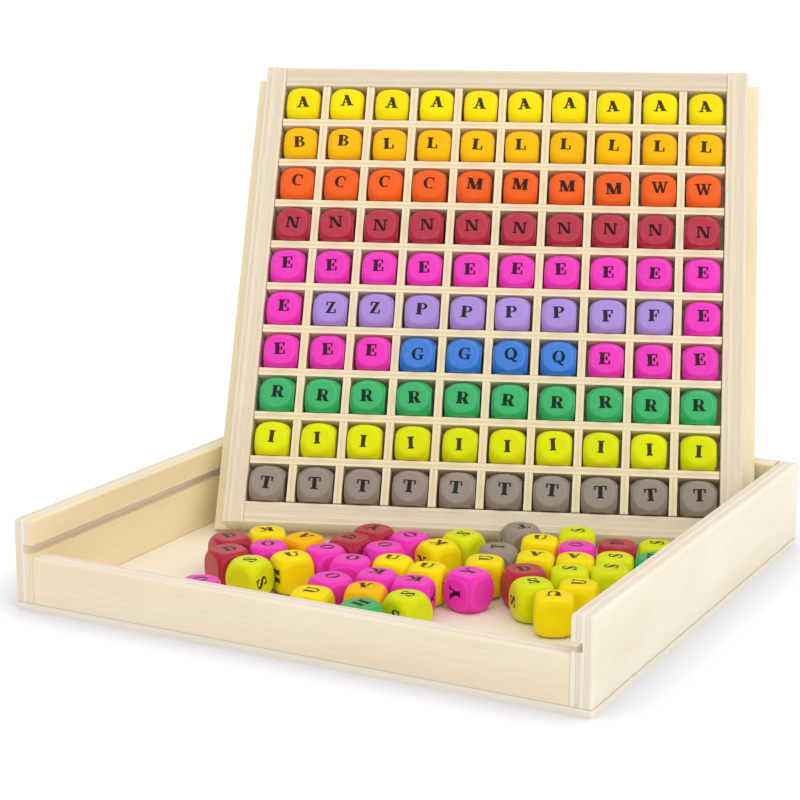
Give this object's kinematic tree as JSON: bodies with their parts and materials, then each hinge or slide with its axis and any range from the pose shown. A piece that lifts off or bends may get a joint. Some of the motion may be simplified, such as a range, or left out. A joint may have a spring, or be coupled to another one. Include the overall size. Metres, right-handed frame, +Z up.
{
  "type": "letter cube word game",
  "caption": "Plywood tray game: a gridded board of painted wooden letter cubes leans in a low tray, with more cubes loose in front; the board slides in as the lid.",
  "frame": {"origin": "centre of the tray's underside", "axes": "+X to the right along the tray's low front, +Y to the back wall, +Z up"},
  "size_m": [0.2637, 0.3051, 0.1931],
  "materials": {
    "plywood": "sanded birch plywood, clear oiled",
    "paint_yellow": "yellow satin paint on hardwood, edges worn",
    "paint_amber": "amber satin paint on hardwood, edges worn",
    "paint_orange": "orange satin paint on hardwood, edges worn",
    "paint_crimson": "crimson satin paint on hardwood, edges worn",
    "paint_magenta": "magenta satin paint on hardwood, edges worn",
    "paint_lilac": "lilac satin paint on hardwood, edges worn",
    "paint_blue": "blue satin paint on hardwood, edges worn",
    "paint_green": "green satin paint on hardwood, edges worn",
    "paint_lemon": "lemon satin paint on hardwood, edges worn",
    "paint_lime": "lime satin paint on hardwood, edges worn",
    "paint_grey": "grey satin paint on hardwood, edges worn"
  },
  "bodies": {
    "tray": {"tray_floor": "plywood", "tray_wall_back": "plywood", "tray_wall_front": "plywood", "tray_wall_left": "plywood", "tray_wall_right": "plywood"},
    "board": {"board_panel": "plywood", "board_rail_bottom": "plywood", "board_rail_left": "plywood", "board_rail_right": "plywood", "board_rail_top": "plywood", "slat_across_1": "plywood", "slat_across_2": "plywood", "slat_across_3": "plywood", "slat_across_4": "plywood", "slat_across_5": "plywood", "slat_across_6": "plywood", "slat_across_7": "plywood", "slat_across_8": "plywood", "slat_across_9": "plywood", "slat_upright_1": "plywood", "slat_upright_2": "plywood", "slat_upright_3": "plywood", "slat_upright_4": "plywood", "slat_upright_5": "plywood", "slat_upright_6": "plywood", "slat_upright_7": "plywood", "slat_upright_8": "plywood", "slat_upright_9": "plywood"},
    "row_01_yellow_cubes": {"row_01_yellow": "paint_yellow"},
    "row_02_amber_cubes": {"row_02_amber": "paint_amber"},
    "row_03_orange_cubes": {"row_03_orange": "paint_orange"},
    "row_04_crimson_cubes": {"row_04_crimson": "paint_crimson"},
    "row_05_magenta_cubes": {"row_05_magenta": "paint_magenta"},
    "row_06_lilac_cubes": {"row_06_lilac": "paint_lilac"},
    "row_06_magenta_cubes": {"row_06_magenta": "paint_magenta"},
    "row_07_blue_cubes": {"row_07_blue": "paint_blue"},
    "row_07_magenta_cubes": {"row_07_magenta": "paint_magenta"},
    "row_08_green_cubes": {"row_08_green": "paint_green"},
    "row_09_lemon_cubes": {"row_09_lemon": "paint_lemon"},
    "row_10_grey_cubes": {"row_10_grey": "paint_grey"},
    "loose_amber_cubes": {"loose_amber": "paint_amber"},
    "loose_crimson_back_cubes": {"loose_crimson_back": "paint_crimson"},
    "loose_crimson_left_cubes": {"loose_crimson_left": "paint_crimson"},
    "loose_crimson_right_cubes": {"loose_crimson_right": "paint_crimson"},
    "loose_green_cubes": {"loose_green": "paint_green"},
    "loose_grey_cubes": {"loose_grey": "paint_grey"},
    "loose_lime_back_cubes": {"loose_lime_back": "paint_lime"},
    "loose_lime_front_cubes": {"loose_lime_front": "paint_lime"},
    "loose_lime_left_cubes": {"loose_lime_left": "paint_lime"},
    "loose_lime_near_cubes": {"loose_lime_near": "paint_lime"},
    "loose_lime_right_cubes": {"loose_lime_right": "paint_lime"},
    "loose_magenta_back_cubes": {"loose_magenta_back": "paint_magenta"},
    "loose_magenta_left_cubes": {"loose_magenta_left": "paint_magenta"},
    "loose_magenta_middle_cubes": {"loose_magenta_middle": "paint_magenta"},
    "loose_magenta_right_cubes": {"loose_magenta_right": "paint_magenta"},
    "loose_magenta_single_cubes": {"loose_magenta_single": "paint_magenta"},
    "loose_yellow_front_cubes": {"loose_yellow_front": "paint_yellow"},
    "loose_yellow_left_cubes": {"loose_yellow_left": "paint_yellow"},
    "loose_yellow_middle_cubes": {"loose_yellow_middle": "paint_yellow"},
    "loose_yellow_right_cubes": {"loose_yellow_right": "paint_yellow"}
  },
  "joints": [
    {"name": "board_lift", "type": "slide", "parent": "tray", "child": "board", "axis": [0, 0, 1], "range_m": [0, 0.06]},
    {"name": "row_01_yellow_out", "type": "slide", "parent": "board", "child": "row_01_yellow_cubes", "axis": [0.2995, -0.7874, 0.5388], "range_m": [0, 0.03]},
    {"name": "row_02_amber_out", "type": "slide", "parent": "board", "child": "row_02_amber_cubes", "axis": [0.2995, -0.7874, 0.5388], "range_m": [0, 0.03]},
    {"name": "row_03_orange_out", "type": "slide", "parent": "board", "child": "row_03_orange_cubes", "axis": [0.2995, -0.7874, 0.5388], "range_m": [0, 0.03]},
    {"name": "row_04_crimson_out", "type": "slide", "parent": "board", "child": "row_04_crimson_cubes", "axis": [0.2995, -0.7874, 0.5388], "range_m": [0, 0.03]},
    {"name": "row_05_magenta_out", "type": "slide", "parent": "board", "child": "row_05_magenta_cubes", "axis": [0.2995, -0.7874, 0.5388], "range_m": [0, 0.03]},
    {"name": "row_06_lilac_out", "type": "slide", "parent": "board", "child": "row_06_lilac_cubes", "axis": [0.2995, -0.7874, 0.5388], "range_m": [0, 0.03]},
    {"name": "row_06_magenta_out", "type": "slide", "parent": "board", "child": "row_06_magenta_cubes", "axis": [0.2995, -0.7874, 0.5388], "range_m": [0, 0.03]},
    {"name": "row_07_blue_out", "type": "slide", "parent": "board", "child": "row_07_blue_cubes", "axis": [0.2995, -0.7874, 0.5388], "range_m": [0, 0.03]},
    {"name": "row_07_magenta_out", "type": "slide", "parent": "board", "child": "row_07_magenta_cubes", "axis": [0.2995, -0.7874, 0.5388], "range_m": [0, 0.03]},
    {"name": "row_08_green_out", "type": "slide", "parent": "board", "child": "row_08_green_cubes", "axis": [0.2995, -0.7874, 0.5388], "range_m": [0, 0.03]},
    {"name": "row_09_lemon_out", "type": "slide", "parent": "board", "child": "row_09_lemon_cubes", "axis": [0.2995, -0.7874, 0.5388], "range_m": [0, 0.03]},
    {"name": "row_10_grey_out", "type": "slide", "parent": "board", "child": "row_10_grey_cubes", "axis": [0.2995, -0.7874, 0.5388], "range_m": [0, 0.03]},
    {"name": "loose_amber_lift", "type": "slide", "parent": "tray", "child": "loose_amber_cubes", "axis": [0, 0, 1], "range_m": [0, 0.05]},
    {"name": "loose_crimson_back_lift", "type": "slide", "parent": "tray", "child": "loose_crimson_back_cubes", "axis": [0, 0, 1], "range_m": [0, 0.05]},
    {"name": "loose_crimson_left_lift", "type": "slide", "parent": "tray", "child": "loose_crimson_left_cubes", "axis": [0, 0, 1], "range_m": [0, 0.05]},
    {"name": "loose_crimson_right_lift", "type": "slide", "parent": "tray", "child": "loose_crimson_right_cubes", "axis": [0, 0, 1], "range_m": [0, 0.05]},
    {"name": "loose_green_lift", "type": "slide", "parent": "tray", "child": "loose_green_cubes", "axis": [0, 0, 1], "range_m": [0, 0.05]},
    {"name": "loose_grey_lift", "type": "slide", "parent": "tray", "child": "loose_grey_cubes", "axis": [0, 0, 1], "range_m": [0, 0.05]},
    {"name": "loose_lime_back_lift", "type": "slide", "parent": "tray", "child": "loose_lime_back_cubes", "axis": [0, 0, 1], "range_m": [0, 0.05]},
    {"name": "loose_lime_front_lift", "type": "slide", "parent": "tray", "child": "loose_lime_front_cubes", "axis": [0, 0, 1], "range_m": [0, 0.05]},
    {"name": "loose_lime_left_lift", "type": "slide", "parent": "tray", "child": "loose_lime_left_cubes", "axis": [0, 0, 1], "range_m": [0, 0.05]},
    {"name": "loose_lime_near_lift", "type": "slide", "parent": "tray", "child": "loose_lime_near_cubes", "axis": [0, 0, 1], "range_m": [0, 0.05]},
    {"name": "loose_lime_right_lift", "type": "slide", "parent": "tray", "child": "loose_lime_right_cubes", "axis": [0, 0, 1], "range_m": [0, 0.05]},
    {"name": "loose_magenta_back_lift", "type": "slide", "parent": "tray", "child": "loose_magenta_back_cubes", "axis": [0, 0, 1], "range_m": [0, 0.05]},
    {"name": "loose_magenta_left_lift", "type": "slide", "parent": "tray", "child": "loose_magenta_left_cubes", "axis": [0, 0, 1], "range_m": [0, 0.05]},
    {"name": "loose_magenta_middle_lift", "type": "slide", "parent": "tray", "child": "loose_magenta_middle_cubes", "axis": [0, 0, 1], "range_m": [0, 0.05]},
    {"name": "loose_magenta_right_lift", "type": "slide", "parent": "tray", "child": "loose_magenta_right_cubes", "axis": [0, 0, 1], "range_m": [0, 0.05]},
    {"name": "loose_magenta_single_lift", "type": "slide", "parent": "tray", "child": "loose_magenta_single_cubes", "axis": [0, 0, 1], "range_m": [0, 0.05]},
    {"name": "loose_yellow_front_lift", "type": "slide", "parent": "tray", "child": "loose_yellow_front_cubes", "axis": [0, 0, 1], "range_m": [0, 0.05]},
    {"name": "loose_yellow_left_lift", "type": "slide", "parent": "tray", "child": "loose_yellow_left_cubes", "axis": [0, 0, 1], "range_m": [0, 0.05]},
    {"name": "loose_yellow_middle_lift", "type": "slide", "parent": "tray", "child": "loose_yellow_middle_cubes", "axis": [0, 0, 1], "range_m": [0, 0.05]},
    {"name": "loose_yellow_right_lift", "type": "slide", "parent": "tray", "child": "loose_yellow_right_cubes", "axis": [0, 0, 1], "range_m": [0, 0.05]}
  ]
}
